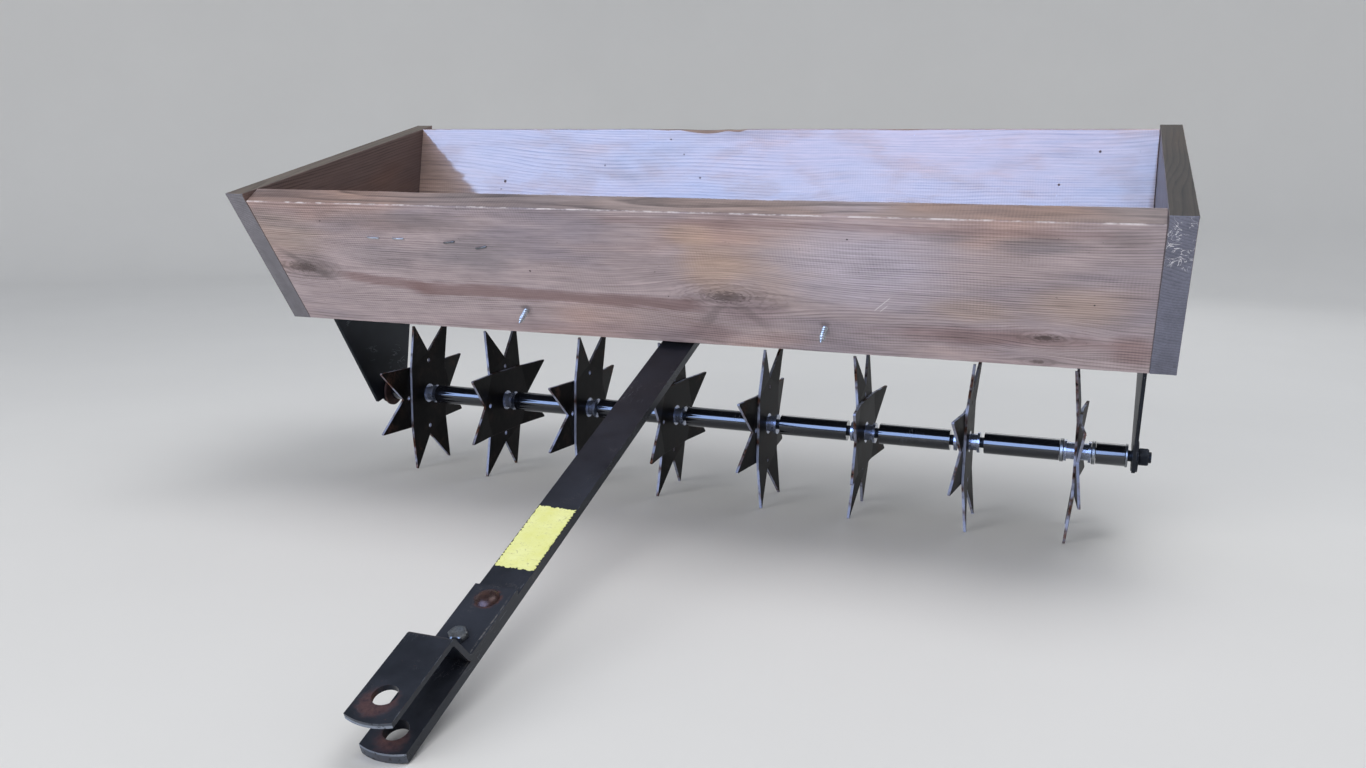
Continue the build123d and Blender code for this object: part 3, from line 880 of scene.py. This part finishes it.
# ---------------------------------------------------------------- blank yellow film on the tongue
def film(name, length, width, corner, thick):
    """A thin film with a ragged rim, lifted a little where it has come loose, drawn face by face."""
    long_cells, wide_cells = 110, 48
    torn_reach, bite_depth = 0.003, 0.0034
    curl_height, ripple_height, underside = 0.00022, 0.00006, 0.00002
    bm = bmesh.new()
    above, below = {}, {}
    for i in range(long_cells + 1):
        for j in range(wide_cells + 1):
            x, y = length * (i / long_cells - 0.5), width * (j / wide_cells - 0.5)
            over = max(abs(x) - (length / 2 - corner), 0), max(abs(y) - (width / 2 - corner), 0)
            if over[0] and over[1] and math.hypot(*over) > corner:
                pull = corner / math.hypot(*over)
                x = math.copysign(length / 2 - corner + over[0] * pull, x)
                y = math.copysign(width / 2 - corner + over[1] * pull, y)
            from_rim = min(length / 2 - abs(x), width / 2 - abs(y))
            torn = max(0.0, 1 - from_rim / torn_reach)
            bite = max(0.0, noise.noise(Vector((x * 520, y * 520, 7))) + 0.20) * bite_depth * torn
            x -= math.copysign(bite if length / 2 - abs(x) < torn_reach else 0, x)
            y -= math.copysign(bite if width / 2 - abs(y) < torn_reach else 0, y)
            curl = curl_height * torn * (0.5 + noise.noise(Vector((x * 120, y * 120, 3))))
            ripple = ripple_height * (1 + noise.noise(Vector((x * 60, y * 60, 5))))
            above[i, j] = bm.verts.new((x, y, thick + ripple + max(curl, 0)))
            below[i, j] = bm.verts.new((x, y, underside))
    for i in range(long_cells):
        for j in range(wide_cells):
            cell = ((i, j), (i + 1, j), (i + 1, j + 1), (i, j + 1))
            bm.faces.new([above[c] for c in cell])
            bm.faces.new([below[c] for c in reversed(cell)])
    rim = [(i, 0) for i in range(long_cells)] + [(long_cells, j) for j in range(wide_cells)]
    rim += [(long_cells - i, wide_cells - j) for i, j in rim]
    for here, there in zip(rim, rim[1:] + rim[:1]):
        bm.faces.new((above[there], above[here], below[here], below[there]))
    return mesh_of(bm, name)


film_mesh = film("tongue_film", FILM_LENGTH, FILM_WIDTH, corner=0.0015, thick=0.00016)
piece("tongue_film", film_mesh, film_yellow,
      tongue_top @ Matrix.Translation((FILM_AT, 0, 0)))


# ---------------------------------------------------------------- washers, rings and nuts on the axle
def on_axle(name, mesh, x, finish, outward=1):
    """Seats a piece drawn from Z = 0 up on the axle's line at x, growing to the right or the left."""
    turn = Matrix.Rotation(0 if outward > 0 else math.pi, 4, "X")
    piece(name, mesh, finish, axle_line @ Matrix.Translation((0, 0, x)) @ turn)


BORE = AXLE_RADIUS + 0.00012
RING_RADIUS, NUT_WASHER = 0.0136, 0.0028
SLIT = 0.0003  # left open between neighbours along the axle
for side, way in (("left", -1), ("right", 1)):
    outer_face = BOX_LENGTH / 2 + way * (BOX_LENGTH / 2 - BOARD_THICK)
    inner_face = outer_face - way * PLATE_THICK
    outer_washer = washer("washer", BORE, outer=0.0180, thick=NUT_WASHER)
    on_axle(f"{side}_outer_washer", outer_washer, outer_face + way * SLIT, dark_nut, way)
    nut = hex_nut("nut", across=0.0190, height=0.0108, bore=BORE)
    on_axle(f"{side}_axle_nut", nut, outer_face + way * (NUT_WASHER + 2 * SLIT), dark_nut, way)
    if way < 0:
        inner_washer = washer("washer", BORE, outer=0.0215, thick=0.0036)
        on_axle("left_inner_washer", inner_washer, inner_face + SLIT, rust_washer)
    else:
        inner_ring = washer("ring", BORE, RING_RADIUS, thick=0.0026)
        on_axle("right_inner_ring", inner_ring, inner_face - PLATE_GAP + SLIT, rubbed_steel)
    ring = washer("ring", BORE, RING_RADIUS, thick=0.0043, edge=0.0007)
    on_axle(f"last_wheel_{side}_ring", ring, LAST_WHEEL_X + way * (HUB_END + 0.0004), rubbed_steel, way)
    thread = threaded("axle_thread", AXLE_RADIUS + 0.00025, THREAD_LEAD, length=0.0030, depth=0.0004)
    on_axle(f"{side}_axle_thread", thread, outer_face + way * (AXLE_OVER - 0.00295), dark_nut, way)


# ---------------------------------------------------------------- floor, light and camera
def studio():
    """A round floor that curves up into a low wall, so that every side has a pale ground."""
    flat, curve, top, steps = 3.6, 0.9, 3.4, 10
    profile = [(0.0, 0.0), (2.0, 0.0), (flat, 0.0)]
    for i in range(1, steps + 1):
        angle = math.pi / 2 * i / steps
        profile.append((flat + curve * math.sin(angle), curve * (1 - math.cos(angle))))
    return turned("studio_floor", profile + [(flat + curve, top)], 96)


floor = bpy.data.objects.new("studio_floor", studio())
bpy.context.scene.collection.objects.link(floor)
floor.data.shade_smooth()
pale = Finish("pale_studio_paint", roughness=0.9, specular_ior_level=0.0)
# Toward the lamps the ground is painted darker, so that it keeps below white
lamp_side = pale.dot(pale.place, (0.35, 0.94, 0)).rise(-1.1, -2.2)
paint = pale.mix(pale.noise(3, 3), (0.80, 0.795, 0.785), (0.84, 0.835, 0.825))
pale.set(base_color=pale.mix(lamp_side, paint, (0.42, 0.42, 0.415)))
floor.data.materials.append(pale.material)

world = bpy.data.worlds.new("soft_sky")
bpy.context.scene.world = world
world.use_nodes = True
sky = world.node_tree.nodes["Background"]
sky.inputs["Color"].default_value = (0.82, 0.89, 1.0, 1)
sky.inputs["Strength"].default_value = 0.40


def softbox(name, place, target, width, height, radiance, colour=(1, 1, 1)):
    light = bpy.data.lights.new(name, "AREA")
    light.shape, light.size, light.size_y = "RECTANGLE", width, height
    light.energy, light.color = radiance * math.pi * width * height, colour
    lamp = bpy.data.objects.new(name, light)
    lamp.location = place
    lamp.rotation_euler = (Vector(target) - Vector(place)).to_track_quat("-Z", "Y").to_euler()
    lamp.visible_camera = False
    bpy.context.scene.collection.objects.link(lamp)
    return lamp


FRONT_TARGET = (-0.2, 0.2, 0.35)
front = softbox("front_softbox", (-0.95, -2.9, 1.35), FRONT_TARGET, width=3.3, height=2.3, radiance=2.9,
                colour=(1.0, 0.985, 0.97))
front.visible_glossy = False
softbox("top_softbox", (0.9, -0.1, 2.9), (0.1, 0.2, 0.2), width=1.8, height=1.6, radiance=3.4)
softbox("back_softbox", (0.4, 3.2, 1.9), (0, 0.2, 0.2), width=2.6, height=1.2, radiance=1.4)
# A blue card that shows only in gloss, as the open sky does in wet boards and round tubes
card = softbox("sky_card", (-0.92, -2.70, 1.60), FRONT_TARGET, width=3.3, height=2.9, radiance=7.4,
               colour=(0.42, 0.585, 1.0))
card.visible_diffuse = False

# The camera stands against the box as the photograph's did
SENSOR, FOCAL_PIXELS, FRAME_PIXELS = 36.0, 1141.0, 1366
CAMERA_AT = (0.9743, -1.0571, 0.4552)
LOOKS, ACROSS = (-0.3377, 0.8586, -0.3856), (0.9382, 0.3398, -0.0650)
lens = bpy.data.cameras.new("photo_camera")
lens.sensor_width, lens.lens = SENSOR, FOCAL_PIXELS / FRAME_PIXELS * SENSOR
camera = bpy.data.objects.new("photo_camera", lens)
bpy.context.scene.collection.objects.link(camera)
looks, across = Vector(LOOKS).normalized(), Vector(ACROSS)
across = (across - looks * across.dot(looks)).normalized()
columns = Matrix((across, across.cross(looks), -looks)).transposed().to_4x4()
camera.matrix_world = machine_frame @ Matrix.Translation(CAMERA_AT) @ columns
bpy.context.scene.camera = camera
bpy.context.scene.view_settings.view_transform = "Standard"
